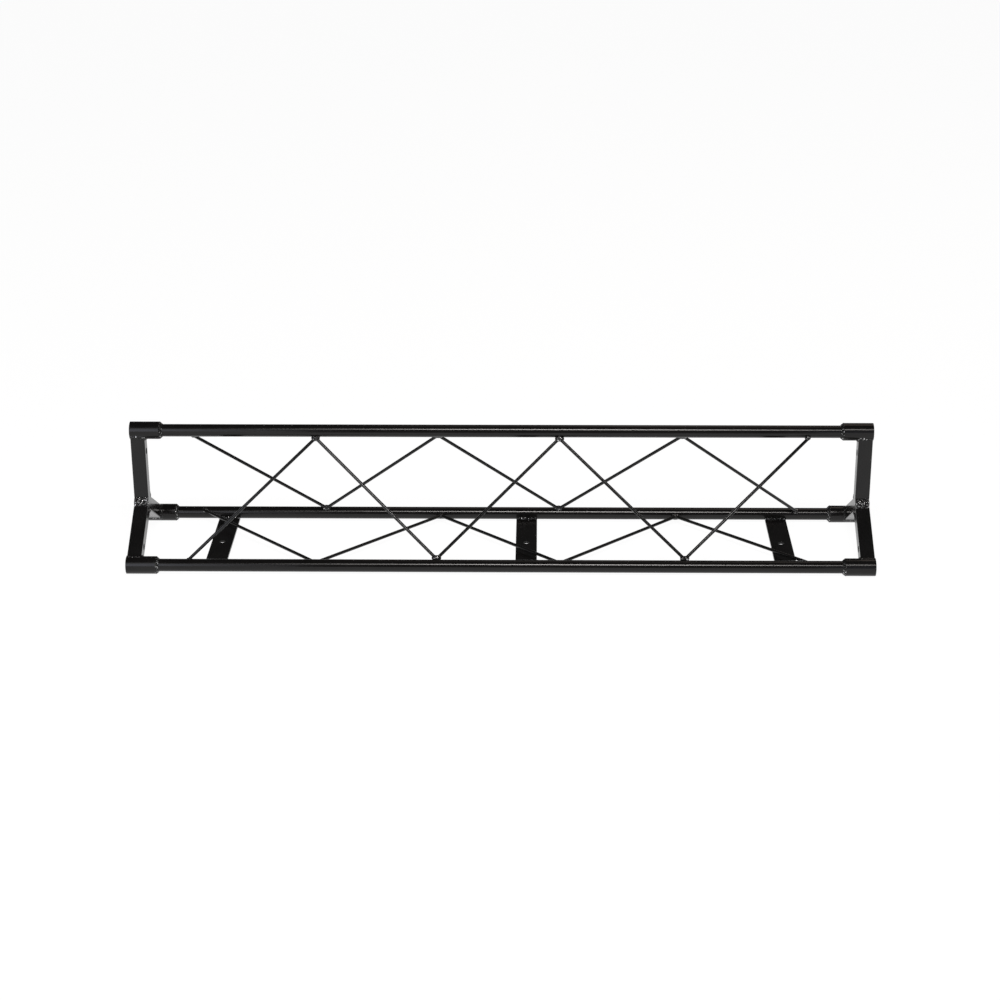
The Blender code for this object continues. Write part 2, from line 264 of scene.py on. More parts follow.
def cut(mesh, cutters):
    """Take cutter meshes out of a mesh, keeping the result as a plain mesh."""
    body = bpy.data.objects.new("cut_body", mesh)
    bpy.context.scene.collection.objects.link(body)
    tools = []
    for cutter in cutters:
        tool = bpy.data.objects.new("cutter", cutter)
        bpy.context.scene.collection.objects.link(tool)
        modifier = body.modifiers.new("cut", "BOOLEAN")
        modifier.operation = "DIFFERENCE"
        modifier.solver = "EXACT"
        modifier.object = tool
        tools.append(tool)
    graph = bpy.context.evaluated_depsgraph_get()
    result = bpy.data.meshes.new_from_object(body.evaluated_get(graph))
    for temporary in (body, *tools):
        bpy.data.objects.remove(temporary)
    result.shade_smooth()
    result.set_sharp_from_angle(angle=math.radians(CREASE))
    return result


def hole_cutter(radius, levels, edge, reach):
    """A drill along X whose rim opens out softly where it passes each wall surface.

    levels lists the x of wall surfaces as (x, side), where side is the way out of the metal.
    """
    steps = 5
    segments = 48
    profile = [(-reach, radius + edge)]
    for x, side in levels:
        arc = []
        for k in range(steps + 1):
            angle = math.pi / 2 * k / steps
            arc.append((x - side * edge * (1 - math.sin(angle)), radius + edge * (1 - math.cos(angle))))
        profile.extend(arc if side > 0 else arc[::-1])
    profile.append((reach, radius + edge))
    return skin([circle(x, size, segments) for x, size in profile])


# ---------------------------------------------------------------- weld metal

# How closely packed the unevenness of the metal is, per metre
SLOW_UNEVEN = 90
QUICK_UNEVEN = 260
ROUGH_UNEVEN = 430
FINE_UNEVEN = 520
# The level of a scallop that adds nothing to a bead's size
SCALLOP_MIDDLE = 0.6


def scallop(phase):
    """Rounded tops with sharp valleys between them, once per unit of phase."""
    part = phase - np.floor(phase)
    return np.sqrt(np.clip(1 - (2 * part - 1) ** 2, 0, 1))


def bead(roots, toward_a, toward_b, leg_a, leg_b, pitch, closed, seed, bulge=0.20, ripple=0.16,
         lump=0.0, across=13):
    """A rippled fillet weld along a corner between two surfaces.

    toward_a and toward_b are unit directions away from the corner, along each surface. ripple is
    the depth of the pattern left by each drop, and lump that of the unevenness over it.
    """
    lag = 0.55
    sink = 0.0004
    end_round = 0.0025
    end_size = 0.04
    roots = np.asarray(roots, float)
    a = np.asarray(toward_a, float)
    b = np.asarray(toward_b, float)
    count = len(roots)
    leg_a = np.broadcast_to(np.asarray(leg_a, float), (count,)).copy()
    leg_b = np.broadcast_to(np.asarray(leg_b, float), (count,)).copy()
    step = np.linalg.norm(np.roll(roots, -1, axis=0) - roots, axis=1)
    travel = np.concatenate([[0], np.cumsum(step[:-1])])
    total = travel[-1] + (step[-1] if closed else 0.0)
    if closed:
        pitch = total / max(round(total / pitch), 1)
    else:
        to_end = np.minimum(travel, total - travel)
        ease = np.sqrt(np.clip(1 - (1 - np.clip(to_end / end_round, 0, 1)) ** 2, end_size, 1))
        leg_a *= ease
        leg_b *= ease
    drift = np.array([noise.noise(Vector(p) * SLOW_UNEVEN + Vector((seed * 7.1, 0, 0))) for p in roots])
    waver = np.array([noise.noise(Vector(p) * QUICK_UNEVEN + Vector((0, seed * 3.7, 0))) for p in roots])
    leg_a *= 1 + 0.10 * drift + 0.05 * waver
    leg_b *= 1 - 0.08 * drift + 0.05 * waver
    normal_a = b - (b * a).sum(1)[:, None] * a
    normal_a /= np.linalg.norm(normal_a, axis=1)[:, None]
    normal_b = a - (a * b).sum(1)[:, None] * b
    normal_b /= np.linalg.norm(normal_b, axis=1)[:, None]
    out = normal_a + normal_b
    out /= np.linalg.norm(out, axis=1)[:, None]
    t = np.linspace(0, 1, across)
    crown = np.sin(math.pi * t)
    phase = travel[:, None] / pitch + lag * crown[None, :] + 0.20 * waver[:, None]
    size = 1 + ripple * (scallop(phase) - SCALLOP_MIDDLE)
    lift = bulge * 0.5 * (leg_a + leg_b)
    surface = (
        roots[:, None, :]
        + a[:, None, :] * (leg_a[:, None] * (1 - t)[None, :] * size)[..., None]
        + b[:, None, :] * (leg_b[:, None] * t[None, :] * size)[..., None]
        + out[:, None, :] * (lift[:, None] * crown[None, :] * size)[..., None])
    if lump:
        away = Vector((0, 0, seed * 4.3))
        uneven = np.array([[noise.noise(Vector(p) * ROUGH_UNEVEN + away) for p in row] for row in surface])
        surface += out[:, None, :] * (lump * uneven * crown[None, :] ** 0.5)[..., None]
    surface[:, 0, :] -= normal_a * sink
    surface[:, -1, :] -= normal_b * sink
    under = roots - out * sink
    return skin(np.concatenate([surface, under[:, None, :]], axis=1), closed=closed)


def weld_blob(size, seed):
    """Weld metal built up in a few overlapping passes: a squarish dome with arc ripples."""
    ridge_height = 0.00050
    grain_height = 0.00022
    pitch = 0.0030
    around = 64
    tall = 48
    chance = random.Random(seed)
    lean = chance.uniform(-0.35, 0.35)
    shift = chance.uniform(0, 1)
    power = 2.7
    rings = []
    for i in range(1, tall):
        polar = math.pi * i / tall
        ring = []
        for j in range(around):
            azimuth = 2 * math.pi * j / around
            x = math.cos(polar)
            y = math.sin(polar) * math.cos(azimuth)
            z = math.sin(polar) * math.sin(azimuth)
            direction = Vector((x, y, z))
            fit = (abs(x) ** power + abs(y) ** power + abs(z) ** power) ** (-1 / power)
            swell = 1 + 0.10 * noise.noise(direction * 2.3 + Vector((seed * 5.3, 0, 0)))
            spot = Vector((x * size[0], y * size[1], z * size[2])) * fit * swell
            arc = spot.x / pitch + shift + 0.9 * (spot.z / size[2]) ** 2 + lean * spot.y / size[1]
            ridge = float(scallop(np.array(arc))) - SCALLOP_MIDDLE
            grain = noise.noise(spot * FINE_UNEVEN + Vector((0, seed * 2.9, 0)))
            ring.append(tuple(spot + direction * (ridge_height * ridge + grain_height * grain)))
        rings.append(ring)
    return skin(rings)


# ---------------------------------------------------------------- materials

class Graph:
    """Short names for building a shader node tree."""

    def __init__(self, material):
        self.tree = material.node_tree
        self.nodes = self.tree.nodes
        self.links = self.tree.links
        self.spot = 0

    def add(self, kind, **settings):
        node = self.nodes.new(kind)
        self.spot += 1
        node.location = (-200 * (self.spot % 6), -220 * (self.spot // 6))
        for key, value in settings.items():
            setattr(node, key, value)
        return node

    def link(self, start, end):
        self.links.new(start, end)

    def noise(self, where, scale, detail, rough):
        node = self.add("ShaderNodeTexNoise")
        node.inputs["Scale"].default_value = scale
        node.inputs["Detail"].default_value = detail
        node.inputs["Roughness"].default_value = rough
        self.link(where, node.inputs["Vector"])
        return node.outputs["Fac"]

    def remap(self, value, span, new_span):
        node = self.add("ShaderNodeMapRange")
        node.inputs["From Min"].default_value = span[0]
        node.inputs["From Max"].default_value = span[1]
        node.inputs["To Min"].default_value = new_span[0]
        node.inputs["To Max"].default_value = new_span[1]
        self.link(value, node.inputs["Value"])
        return node.outputs["Result"]

    def combine(self, operation, first, second):
        node = self.add("ShaderNodeMath", operation=operation)
        for socket, value in zip(node.inputs, (first, second)):
            if isinstance(value, (int, float)):
                socket.default_value = value
            else:
                self.link(value, socket)
        return node.outputs[0]

    def blend(self, factor, first, second):
        node = self.add("ShaderNodeMix", data_type="RGBA")
        self.link(factor, node.inputs[0])
        for socket, value in ((node.inputs[6], first), (node.inputs[7], second)):
            if isinstance(value, tuple):
                socket.default_value = (*value, 1)
            else:
                self.link(value, socket)
        return node.outputs[2]

    def bump(self, height, distance, before=None):
        node = self.add("ShaderNodeBump")
        node.inputs["Strength"].default_value = 1.0
        node.inputs["Distance"].default_value = distance
        self.link(height, node.inputs["Height"])
        if before is not None:
            self.link(before, node.inputs["Normal"])
        return node.outputs["Normal"]


DUST_COLOUR = (0.055, 0.054, 0.052)
DUST_AMOUNT = 0.35
# Colour of the painted glints: bright metal specks that stand in for highlights on the welds
GLINT_METAL_COLOUR = (0.66, 0.66, 0.66)
COAT_IOR = 1.38


def powder_coat(name, colour, roughness, peel, peel_size, wave, glint_amount=0.0):
    """Semi-gloss powder coat: fine orange peel over a slow wave, with faint dust and painted glints.

    peel and wave are heights in metres. The last argument sets how many painted glints show:
    bright metallic specks that stand in for highlights on the weld ripples.
    """
    material = bpy.data.materials.new(name)
    material.use_nodes = True
    g = Graph(material)
    shader = g.nodes["Principled BSDF"]
    where = g.add("ShaderNodeTexCoord").outputs["Object"]

    slow = g.noise(where, scale=14.0, detail=3.0, rough=0.55)
    patch = g.noise(where, scale=55.0, detail=4.0, rough=0.6)
    fine = g.noise(where, scale=1400.0, detail=2.0, rough=0.6)
    dots = g.noise(where, scale=2600.0, detail=1.0, rough=0.5)

    darker = tuple(c * 0.82 for c in colour)
    lighter = tuple(c * 1.18 for c in colour)
    tone = g.blend(g.remap(slow, (0.35, 0.65), (0.0, 1.0)), darker, lighter)
    speck = g.remap(dots, (0.70, 0.80), (0.0, DUST_AMOUNT))
    dusted = g.combine("MULTIPLY", speck, g.remap(patch, (0.45, 0.70), (0.15, 1.0)))
    tone = g.blend(dusted, tone, DUST_COLOUR)

    rough = g.remap(patch, (0.30, 0.70), (roughness - 0.020, roughness + 0.030))
    rough = g.combine("ADD", rough, g.remap(fine, (0.3, 0.7), (-0.012, 0.012)))
    rough = g.combine("ADD", rough, g.combine("MULTIPLY", dusted, 0.10))
    # Painted glints: a noise mask turns spots of the coat into bright metal, standing in for highlights on
    # the ripples
    if glint_amount:
        glint_noise = g.noise(where, scale=330.0, detail=1.5, rough=0.5)
        onset = 0.64 - 0.08 * glint_amount
        glint_mask = g.remap(glint_noise, (onset, onset + 0.06), (0.0, 1.0))
        tone = g.blend(glint_mask, tone, GLINT_METAL_COLOUR)
        rough = g.combine("ADD", rough, g.combine("MULTIPLY", glint_mask, 0.12))
        g.link(glint_mask, shader.inputs["Metallic"])
    g.link(tone, shader.inputs["Base Color"])
    g.link(rough, shader.inputs["Roughness"])

    wave_height = g.noise(where, scale=42.0, detail=1.0, rough=0.4)
    peel_height = g.noise(where, scale=1.0 / peel_size, detail=2.0, rough=0.45)
    normal = g.bump(wave_height, wave)
    normal = g.bump(peel_height, peel, before=normal)
    g.link(normal, shader.inputs["Normal"])
    shader.inputs["IOR"].default_value = COAT_IOR
    return material


TUBE_BLACK = (0.0068, 0.0062, 0.0060)
WELD_BLACK = (0.0074, 0.0072, 0.0070)

tube_coat = powder_coat(
    "black_tube_coat", TUBE_BLACK, roughness=0.135, peel=0.000004, peel_size=0.0016, wave=0.000004)
sleeve_coat = powder_coat(
    "black_sleeve_coat", TUBE_BLACK, roughness=0.15, peel=0.000006, peel_size=0.0017, wave=0.000006)
arm_coat = powder_coat(
    "black_arm_coat", (0.0078, 0.0076, 0.0074), roughness=0.18, peel=0.00002, peel_size=0.0018, wave=0.00004)
rod_coat = powder_coat(
    "black_rod_coat", (0.0070, 0.0068, 0.0066), roughness=0.15, peel=0.000005, peel_size=0.0013,
    wave=0.000003)
plate_coat = powder_coat(
    "black_plate_coat", (0.0066, 0.0060, 0.0058), roughness=0.22, peel=0.00002, peel_size=0.0018,
    wave=0.00004)
# The weld coats carry painted glints, bright metallic specks that stand in for highlights, more of them on
# the hub welds
weld_coat = powder_coat(
    "black_weld_coat", WELD_BLACK, roughness=0.13, peel=0.00002, peel_size=0.0010, wave=0.00002, glint_amount=0.55)
hub_weld_coat = powder_coat(
    "black_hub_weld_coat", WELD_BLACK, roughness=0.13, peel=0.00002, peel_size=0.0010, wave=0.00002,
    glint_amount=1.2)
seam_weld_coat = powder_coat(
    "black_seam_weld_coat", WELD_BLACK, roughness=0.15, peel=0.00002, peel_size=0.0010, wave=0.00002,
    glint_amount=0.05)


# ---------------------------------------------------------------- tubes

def make_chords():
    end = SLEEVE_INNER_END + CHORD_INSERT
    inner = CHORD_RADIUS - CHORD_WALL
    outline = filleted([
        (-end, inner, CHORD_EDGE), (-end, CHORD_RADIUS, CHORD_EDGE),
        (end, CHORD_RADIUS, CHORD_EDGE), (end, inner, CHORD_EDGE)], 3)
    outline = supported(outline, CHORD_EDGE)
    for chord in CHORD_ANGLES:
        vertices, faces = lathe(outline, TUBE_SEGMENTS)
        mesh = mesh_of(f"fine_chord_{chord}", vertices, faces, chord_frame(chord))
        add_piece(f"fine_chord_{chord}", mesh, tube_coat, [f"chord_{chord}"])


def make_sleeves():
    half = SLEEVE_LENGTH / 2
    outline = filleted([
        (-half, SLEEVE_BORE, SLEEVE_EDGE), (-half, SLEEVE_RADIUS, SLEEVE_EDGE),
        (half, SLEEVE_RADIUS, SLEEVE_EDGE), (half, SLEEVE_BORE, SLEEVE_EDGE)], 7)
    outline = supported(outline, SLEEVE_EDGE / 2)
    for end, sign in END_SIGNS.items():
        for chord in CHORD_ANGLES:
            vertices, faces = lathe(outline, TUBE_SEGMENTS)
            place = chord_frame(chord, sign * (LENGTH / 2 - half))
            mesh = mesh_of(f"fine_sleeve_{end}_{chord}", vertices, faces, place)
            add_piece(f"fine_sleeve_{end}_{chord}", mesh, sleeve_coat,
                      [f"sleeve_{end}_{chord}"])


def make_collar_welds():
    """The cone of weld from each sleeve's inner end down to its chord."""
    count = 420
    leg_up = SLEEVE_RADIUS - CHORD_RADIUS - CONTACT_GAP
    for e, (end, sign) in enumerate(END_SIGNS.items()):
        for c, chord in enumerate(CHORD_ANGLES):
            angle = np.linspace(0, 2 * math.pi, count, endpoint=False)
            radial = np.stack([np.zeros(count), np.cos(angle), np.sin(angle)], -1)
            inward = np.tile([-sign, 0.0, 0.0], (count, 1))
            roots = radial * CHORD_RADIUS
            vertices, faces = bead(
                roots, radial, inward, leg_up, COLLAR_LEG, pitch=COLLAR_PITCH, closed=True,
                seed=COLLAR_SEED + 3 * e + c, bulge=0.04, ripple=0.24, lump=0.0005)
            place = chord_frame(chord, sign * SLEEVE_INNER_END)
            mesh = mesh_of(f"fine_weld_collar_{end}_{chord}", vertices, faces, place, WELD_CREASE)
            add_piece(f"fine_weld_collar_{end}_{chord}", mesh, weld_coat,
                      [f"weld_collar_{end}_{chord}"])


# ---------------------------------------------------------------- end frames

def rounded_square(half, corner, spacing):
    """Evenly spaced points round a rounded square, with their outward normals."""
    flat = half - corner
    points = []
    normals = []
    for quarter in range(4):
        turn = Matrix.Rotation(math.radians(90 * quarter), 2)
        side = max(int(2 * flat / spacing), 2)
        for k in range(side):
            spot = Vector((half, -flat + 2 * flat * k / side))
            points.append(turn @ spot)
            normals.append(turn @ Vector((1, 0)))
        bend = max(int(corner * math.pi / 2 / spacing), 3)
        for k in range(bend):
            angle = math.pi / 2 * k / bend
            way = Vector((math.cos(angle), math.sin(angle)))
            points.append(turn @ (Vector((flat, flat)) + way * corner))
            normals.append(turn @ way)
    return points, normals


def arm_mesh(name):
    """One spoke: square tube, mitred at the hub, coped round its sleeve, drilled along X."""
    mitre = math.tan(ARM_LEAN)
    cope = SLEEVE_RADIUS + CONTACT_GAP
    points, normals = rounded_square(ARM_WIDTH / 2, ARM_CORNER, 0.00063)
    bm = bmesh.new()
    loops = []
    for depth in (0.0, ARM_WALL):
        low = []
        high = []
        for point, normal in zip(points, normals):
            along_x, across = point - normal * depth
            start = abs(across) / mitre + CONTACT_GAP
            finish = CHORD_REACH - math.sqrt(cope ** 2 - across ** 2)
            low.append(bm.verts.new((along_x, across, start)))
            high.append(bm.verts.new((along_x, across, finish)))
        loops.append((low, high))
    (outer_low, outer_high), (inner_low, inner_high) = loops
    for i in range(len(points)):
        j = (i + 1) % len(points)
        bm.faces.new((outer_low[i], outer_low[j], outer_high[j], outer_high[i]))
        bm.faces.new((inner_low[i], inner_high[i], inner_high[j], inner_low[j]))
        bm.faces.new((outer_low[i], inner_low[i], inner_low[j], outer_low[j]))
        bm.faces.new((outer_high[i], outer_high[j], inner_high[j], inner_high[i]))
    bmesh.ops.recalc_face_normals(bm, faces=bm.faces)
    tube = bpy.data.meshes.new(name)
    bm.to_mesh(tube)
    bm.free()
    outer = ARM_WIDTH / 2
    inner = outer - ARM_WALL
    levels = [(-outer, -1), (-inner, 1), (inner, -1), (outer, 1)]
    vertices, faces = hole_cutter(BOLT_HOLE_RADIUS, levels, ARM_HOLE_RIM, ARM_WIDTH)
    place = Matrix.Translation((0, 0, CHORD_REACH - BOLT_HOLE_FROM_CHORD))
    return cut(tube, [mesh_of("drill", vertices, faces, place)])


def make_arms():
    for end, sign in END_SIGNS.items():
        for chord in CHORD_ANGLES:
            mesh = arm_mesh(f"fine_arm_{end}_{chord}")
            mesh.transform(spoke_frame(chord, sign * ARM_CENTRE_X))
            piece = add_piece(f"fine_arm_{end}_{chord}", mesh, arm_coat, [f"arm_{end}_{chord}"])
            flat_shading(piece)


def make_seam_welds():
    """A bead round each arm where it is coped to its sleeve, slight on the truss's end face."""
    points, normals = rounded_square(ARM_WIDTH / 2, ARM_CORNER, 0.00030)
    for e, (end, sign) in enumerate(END_SIGNS.items()):
        for c, chord in enumerate(CHORD_ANGLES):
            roots = []
            along_arm = []
            along_sleeve = []
            legs_arm = []
            legs_sleeve = []
            for (x, across), (nx, ny) in zip(points, normals):
                drop = math.sqrt(SLEEVE_RADIUS ** 2 - across ** 2)
                roots.append((x, across, CHORD_REACH - drop))
                round_way = Vector((0, drop, across)) / SLEEVE_RADIUS
                along_arm.append((0, 0, -1))
                along_sleeve.append(tuple((Vector((nx, 0, 0)) + round_way * ny).normalized()))
                outside = max(nx * sign, 0.0) ** 2
                legs_arm.append(SEAM_LEG_ARM + (SEAM_LEG_ARM_OUTSIDE - SEAM_LEG_ARM) * outside)
                legs_sleeve.append(SEAM_LEG_SLEEVE + (SEAM_LEG_SLEEVE_OUTSIDE - SEAM_LEG_SLEEVE) * outside)
            vertices, faces = bead(
                roots, along_arm, along_sleeve, legs_arm, legs_sleeve, pitch=SEAM_PITCH, closed=True,
                seed=SEAM_SEED + 3 * e + c)
            place = spoke_frame(chord, sign * ARM_CENTRE_X)
            mesh = mesh_of(f"weld_seam_{end}_{chord}", vertices, faces, place, WELD_CREASE)
            add_piece(f"weld_seam_{end}_{chord}", mesh, seam_weld_coat)


def make_hub_welds():
    """The rough fillet in each corner between two arms, a little wider on one of them."""
    reach = ARM_WIDTH / 2 + HUB_OVERHANG
    count = 170
    corner = ARM_WIDTH / 2 / math.sin(ARM_LEAN)
    for e, (end, sign) in enumerate(END_SIGNS.items()):
        for f, (face, (first, _)) in enumerate(WEBS.items()):
            x = np.linspace(-reach, reach, count)
            roots = np.stack([x, np.zeros(count), np.full(count, corner)], -1)
            toward_a = np.tile([0, math.sin(ARM_LEAN), math.cos(ARM_LEAN)], (count, 1))
            toward_b = np.tile([0, -math.sin(ARM_LEAN), math.cos(ARM_LEAN)], (count, 1))
            vertices, faces = bead(
                roots, toward_a, toward_b, HUB_LEG_FIRST, HUB_LEG_SECOND, pitch=HUB_PITCH, closed=False,
                seed=HUB_SEED + 3 * e + f, bulge=0.24, ripple=0.30, lump=0.0016, across=25)
            middle = Matrix.Translation((sign * ARM_CENTRE_X, 0, MIDDLE_HEIGHT))
            turn = Matrix.Rotation(CHORD_ANGLES[first] - ARM_LEAN, 4, "X")
            mesh = mesh_of(f"fine_weld_hub_{end}_{face}", vertices, faces, middle @ turn, WELD_CREASE)
            add_piece(f"fine_weld_hub_{end}_{face}", mesh, hub_weld_coat,
                      [f"weld_hub_{end}_{face}"])


# ---------------------------------------------------------------- webs

def web_nodes(face):
    """Where one bent rod meets its two chords, in its face's own frame."""
    ends = []
    for tilt in WEB_END_TILTS[face]:
        angle = math.radians(tilt)
        ends.append((WEB_END_FROM_CHORD * math.cos(angle), -WEB_END_FROM_CHORD * math.sin(angle)))
    bends = [(depth, 0.0) for depth in WEB_BEND_DEPTHS[face]]
    nodes = []
    for i, (y, z) in enumerate([ends[0], *bends, ends[1]]):
        if i % 2:
            y = CHORD_SPACING - y
        nodes.append(Vector((WEB_POINTS[face][i], y, z)))
    return nodes


def rounded_path(nodes, radius, steps):
    """Replace each inner corner of a path by an arc."""
    path = [nodes[0]]
    for before, corner, after in zip(nodes, nodes[1:], nodes[2:]):
        back = (before - corner).normalized()
        on = (after - corner).normalized()
        half_angle = back.angle(on) / 2
        centre = corner + (back + on).normalized() * (radius / math.sin(half_angle))
        start = corner + back * (radius / math.tan(half_angle)) - centre
        axis = back.cross(on)
        sweep = math.pi - 2 * half_angle
        for step in range(steps + 1):
            path.append(centre + Matrix.Rotation(-sweep * step / steps, 3, axis) @ start)
    path.append(nodes[-1])
    return path


def rod_rings(path, radius, segments, edge):
    """Round sections square to a path, with the cut ends slightly rounded."""
    out = Vector((0, 0, 1))
    last = len(path) - 1
    rings = []
    for i, point in enumerate(path):
        arriving = (path[i] - path[max(i - 1, 0)]).normalized()
        leaving = (path[min(i + 1, last)] - path[i]).normalized()
        along = (arriving + leaving).normalized()
        side = along.cross(out).normalized()
        up = side.cross(along)
        widen = 1 / max(along.dot(leaving if i == 0 else arriving), 0.5)
        levels = [(0.0, radius)]
        shoulder = edge * 0.3
        if i == 0:
            levels = [(0.0, radius - edge), (shoulder, radius - shoulder), (edge, radius)]
        elif i == last:
            levels = [(-edge, radius), (-shoulder, radius - shoulder), (0.0, radius - edge)]
        for slide, size in levels:
            ring = []
            for j in range(segments):
                angle = 2 * math.pi * j / segments
                offset = side * (math.cos(angle) * widen) + up * math.sin(angle)
                ring.append(tuple(point + along * slide + offset * size))
            rings.append(ring)
    return rings


def node_weld(face, i, node, seed):
    """Weld metal where a rod meets a chord: broad over a bend, a small dab at a free end."""
    chance = random.Random(seed)
    end_side = {0: -1, len(WEB_POINTS[face]) - 1: 1}.get(i, 0)
    size = END_WELD_SIZE if end_side else NODE_WELD_SIZE
    size = size * chance.uniform(0.95, 1.05)
    chord_y = CHORD_SPACING if i % 2 else 0.0
    radial = Vector((0, node.y - chord_y, node.z)).normalized()
    centre = Vector((node.x + chance.uniform(-0.0006, 0.0006), chord_y, 0))
    centre += radial * (CHORD_RADIUS + size.y * WELD_SEAT)
    if end_side:
        centre.x -= end_side * END_WELD_BACK
    else:
        centre.z += NODE_WELD_OUTWARD
    tilt = Matrix.Rotation(math.atan2(radial.z, radial.y), 4, "X")
    vertices, faces = weld_blob(size, seed)
    return vertices, faces, Matrix.Translation(centre) @ tilt


def make_webs():
    for f, (face, (first, second)) in enumerate(WEBS.items()):
        place = face_frame(first, second)
        nodes = web_nodes(face)
        path = rounded_path(nodes, ROD_BEND_RADIUS, ROD_BEND_STEPS)
        vertices, faces = skin(rod_rings(path, ROD_RADIUS, ROD_SEGMENTS, ROD_EDGE))
        mesh = mesh_of(f"fine_web_{face}", vertices, faces, place, ROD_CREASE)
        add_piece(f"fine_web_{face}", mesh, rod_coat, [f"web_{face}"])
        for i, node in enumerate(nodes):
            vertices, faces, spot = node_weld(face, i, node, WEB_SEED + 10 * f + i)
            name = f"fine_weld_web_{face}_{i + 1}"
            mesh = mesh_of(name, vertices, faces, place @ spot, WELD_CREASE)
            add_piece(name, mesh, weld_coat, [f"weld_web_{face}_{i + 1}"])


# ---------------------------------------------------------------- plates

def make_plates():
    top = -CHORD_RADIUS + PLATE_THICKNESS
    seat = math.sqrt(CHORD_RADIUS ** 2 - top ** 2)
    half_length = CHORD_SPACING / 2 - seat - CONTACT_GAP
    half_width = PLATE_WIDTH / 2
    half_depth = PLATE_THICKNESS / 2
    centre_z = top - half_depth
    outline = filleted([
        (-half_width, -half_depth, PLATE_EDGE), (half_width, -half_depth, PLATE_EDGE),
        (half_width, half_depth, PLATE_EDGE), (-half_width, half_depth, PLATE_EDGE)], 4)
    count = 130
    run = np.linspace(-half_width - PLATE_OVERHANG, half_width + PLATE_OVERHANG, count)
    for p, (position, x) in enumerate(PLATE_POSITIONS.items()):
        rings = []
        for y in (-half_length, half_length):
            rings.append([(q.x, y, centre_z + q.y) for q in outline])
        vertices, faces = skin(rings)
        bar = mesh_of("bar", vertices, faces)
        levels = [(-half_depth, -1), (half_depth, 1)]
        drill_vertices, drill_faces = hole_cutter(
            PLATE_HOLE_RADIUS, levels, PLATE_HOLE_RIM, 4 * PLATE_THICKNESS)
        upright = Matrix.Translation((0, 0, centre_z)) @ Matrix.Rotation(math.radians(-90), 4, "Y")
        mesh = cut(bar, [mesh_of("drill", drill_vertices, drill_faces, upright)])
        place = Matrix.Translation((x, 0, SLEEVE_RADIUS))
        mesh.transform(place)
        piece = add_piece(f"fine_plate_{position}", mesh, plate_coat, [f"plate_{position}"])
        flat_shading(piece)
        for c, (chord, way) in enumerate((("rear", 1), ("front", -1))):
            roots = np.stack([run, np.full(count, way * half_length), np.full(count, top)], -1)
            toward_a = np.tile([0.0, -way, 0.0], (count, 1))
            rise = np.array([0.0, way * top / CHORD_RADIUS, seat / CHORD_RADIUS])
            toward_b = np.tile(rise, (count, 1))
            vertices, faces = bead(
                roots, toward_a, toward_b, PLATE_LEG_PLATE, PLATE_LEG_CHORD, pitch=PLATE_PITCH,
                closed=False, seed=PLATE_SEED + 2 * p + c, bulge=0.16)
            name = f"fine_weld_plate_{position}_{chord}"
            mesh = mesh_of(name, vertices, faces, place, WELD_CREASE)
            add_piece(name, mesh, weld_coat, [f"weld_plate_{position}_{chord}"])


# ---------------------------------------------------------------- studio

def stage_plane(name, corners, material):
    """A flat sheet that isn't part of the truss."""
    bm = bmesh.new()
    bm.faces.new([bm.verts.new(corner) for corner in corners])
    mesh = bpy.data.meshes.new(name)
    bm.to_mesh(mesh)
    bm.free()
    mesh.materials.append(material)
    plane = bpy.data.objects.new(name, mesh)
    bpy.context.scene.collection.objects.link(plane)
    return plane


def stage_material(name, level, glow, glow_in_gloss):
    """A matt sheet with a glow of its own, which may be weaker in reflections."""
    material = bpy.data.materials.new(name)
    material.use_nodes = True
    g = Graph(material)
    shader = g.nodes["Principled BSDF"]
    shader.inputs["Base Color"].default_value = (level, level, level, 1)
    shader.inputs["Roughness"].default_value = 0.9
    shader.inputs["Specular IOR Level"].default_value = 0.0
    shader.inputs["Emission Color"].default_value = (1, 1, 1, 1)
    in_gloss = g.add("ShaderNodeLightPath").outputs["Is Glossy Ray"]
    g.link(g.remap(in_gloss, (0.0, 1.0), (glow, glow_in_gloss)), shader.inputs["Emission Strength"])
    return material


def make_stage():
    """A white floor, and a black flag in front that only shows as a dark band in the gloss."""
    far = 40.0
    below = -0.0003
    stage_plane(
        "studio_floor", [(-far, -far, below), (far, -far, below), (far, far, below), (-far, far, below)],
        stage_material("pale_floor", level=0.12, glow=0.955, glow_in_gloss=0.80))
    left, right, front, top = -0.50, 0.75, -1.0, 0.95
    flag = stage_plane(
        "studio_flag", [(left, front, 0.0), (right, front, 0.0), (right, front, top), (left, front, top)],
        stage_material("black_flag", level=0.0, glow=0.0, glow_in_gloss=0.06))
    flag.visible_camera = False
    flag.visible_diffuse = False
    flag.visible_shadow = False


def soft_light(name, x, distance, elevation, width, height, radiance, colour):
    """A softbox parallel to the truss. Elevation is from the camera's side, over the top."""
    rise = math.radians(elevation)
    way = Vector((0, -math.cos(rise), math.sin(rise)))
    data = bpy.data.lights.new(name, "AREA")
    data.shape = "RECTANGLE"
    data.size = width
    data.size_y = height
    data.energy = radiance * math.pi * width * height
    data.color = colour
    light = bpy.data.objects.new(name, data)
    light.location = Vector((x, 0, MIDDLE_HEIGHT)) + way * distance
    light.rotation_mode = "QUATERNION"
    light.rotation_quaternion = (-way).to_track_quat("-Z", "Y")
    light.visible_camera = False
    bpy.context.scene.collection.objects.link(light)


def key_lights(colour):
    """Nested strips over the camera's side, each a little nearer and shorter, brightest in the middle."""
    strips = (
        (-0.90, 1.70, 7.0), (-0.62, 1.20, 5.0), (-0.40, 0.95, 6.0), (-0.20, 0.70, 5.0), (0.00, 0.50, 4.0))
    for i, (left, right, radiance) in enumerate(strips):
        soft_light(
            f"key_{i + 1}", x=(left + right) / 2, distance=5.0 - 0.02 * i, elevation=50.0,
            width=right - left, height=0.85, radiance=radiance, colour=colour)


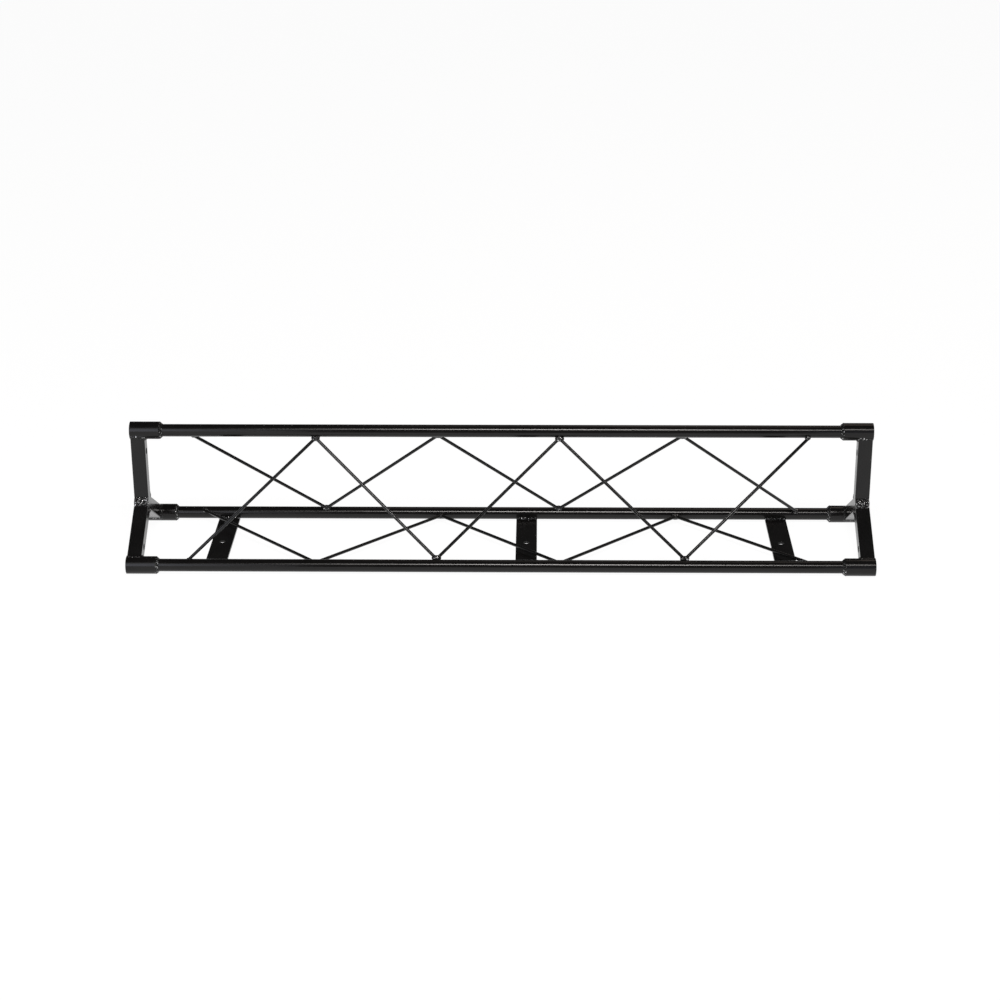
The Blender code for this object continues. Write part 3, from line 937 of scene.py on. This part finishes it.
def window_lights(near_colour, far_colour):
    """A window to the left that fades out towards the middle: right edge, elevation, height, radiance."""
    far_left = -5.0
    sheets = (
        (-0.88, 27.0, 4.2, 0.60, near_colour), (-1.13, 27.0, 4.2, 0.40, near_colour),
        (-1.33, 23.0, 3.0, 0.50, far_colour), (-1.50, 22.0, 2.8, 0.70, far_colour),
        (-1.64, 21.0, 2.6, 0.60, far_colour))
    for i, (right, elevation, height, radiance, colour) in enumerate(sheets):
        soft_light(
            f"left_window_{i + 1}", x=(far_left + right) / 2, distance=5.0 + 0.05 * i, elevation=elevation,
            width=right - far_left, height=height, radiance=radiance, colour=colour)


def make_lights():
    warm = (1.0, 0.965, 0.94)
    neutral = (0.95, 0.96, 1.0)
    cool = (0.80, 0.83, 1.0)
    cooler = (0.74, 0.79, 1.0)
    brown = (1.0, 0.86, 0.76)
    key_lights(warm)
    window_lights(neutral, cool)
    soft_light(
        "right_panel", x=2.9, distance=5.0, elevation=16.0, width=3.4, height=4.0, radiance=0.30,
        colour=cooler)
    soft_light(
        "back_wide", x=0.9, distance=4.0, elevation=122.0, width=3.0, height=1.6, radiance=0.40,
        colour=brown)
    soft_light(
        "back_right", x=1.35, distance=3.95, elevation=122.0, width=2.1, height=1.6, radiance=0.45,
        colour=brown)


def make_world():
    """White to the camera. To the gloss, a bright horizon below a dark room."""
    world = bpy.data.worlds.new("studio")
    bpy.context.scene.world = world
    world.use_nodes = True
    nodes = world.node_tree.nodes
    links = world.node_tree.links
    where = nodes.new("ShaderNodeTexCoord")
    split = nodes.new("ShaderNodeSeparateXYZ")
    ramp = nodes.new("ShaderNodeValToRGB")
    path = nodes.new("ShaderNodeLightPath")
    choose = nodes.new("ShaderNodeMix")
    choose.data_type = "RGBA"
    links.new(where.outputs["Generated"], split.inputs[0])
    links.new(split.outputs["Z"], ramp.inputs[0])
    links.new(path.outputs["Is Camera Ray"], choose.inputs[0])
    links.new(ramp.outputs[0], choose.inputs[6])
    choose.inputs[7].default_value = (1, 1, 1, 1)
    links.new(choose.outputs[2], nodes["Background"].inputs["Color"])
    stops = ramp.color_ramp.elements
    horizon, zenith = stops[0], stops[1]
    horizon.position = 0.0
    horizon.color = (0.9, 0.9, 0.9, 1)
    zenith.position = 1.0
    zenith.color = (0.03, 0.03, 0.03, 1)
    for place, level in ((0.07, 0.45), (0.20, 0.045)):
        stop = stops.new(place)
        stop.color = (level, level, level, 1)
    nodes["Background"].inputs["Strength"].default_value = 1.0


def make_camera():
    data = bpy.data.cameras.new("camera")
    data.sensor_width = CAMERA_SENSOR
    data.lens = CAMERA_LENS
    data.clip_start = 0.1
    data.clip_end = 100.0
    camera = bpy.data.objects.new("camera", data)
    turn = Euler([math.radians(angle) for angle in CAMERA_TURN], "XYZ")
    camera.matrix_world = Matrix.Translation(CAMERA_PLACE) @ turn.to_matrix().to_4x4()
    bpy.context.scene.collection.objects.link(camera)
    bpy.context.scene.camera = camera


make_camera()
make_chords()
make_sleeves()
make_collar_welds()
make_arms()
make_seam_welds()
make_hub_welds()
make_webs()
make_plates()
make_stage()
make_lights()
make_world()
bpy.context.scene.view_settings.view_transform = "Standard"
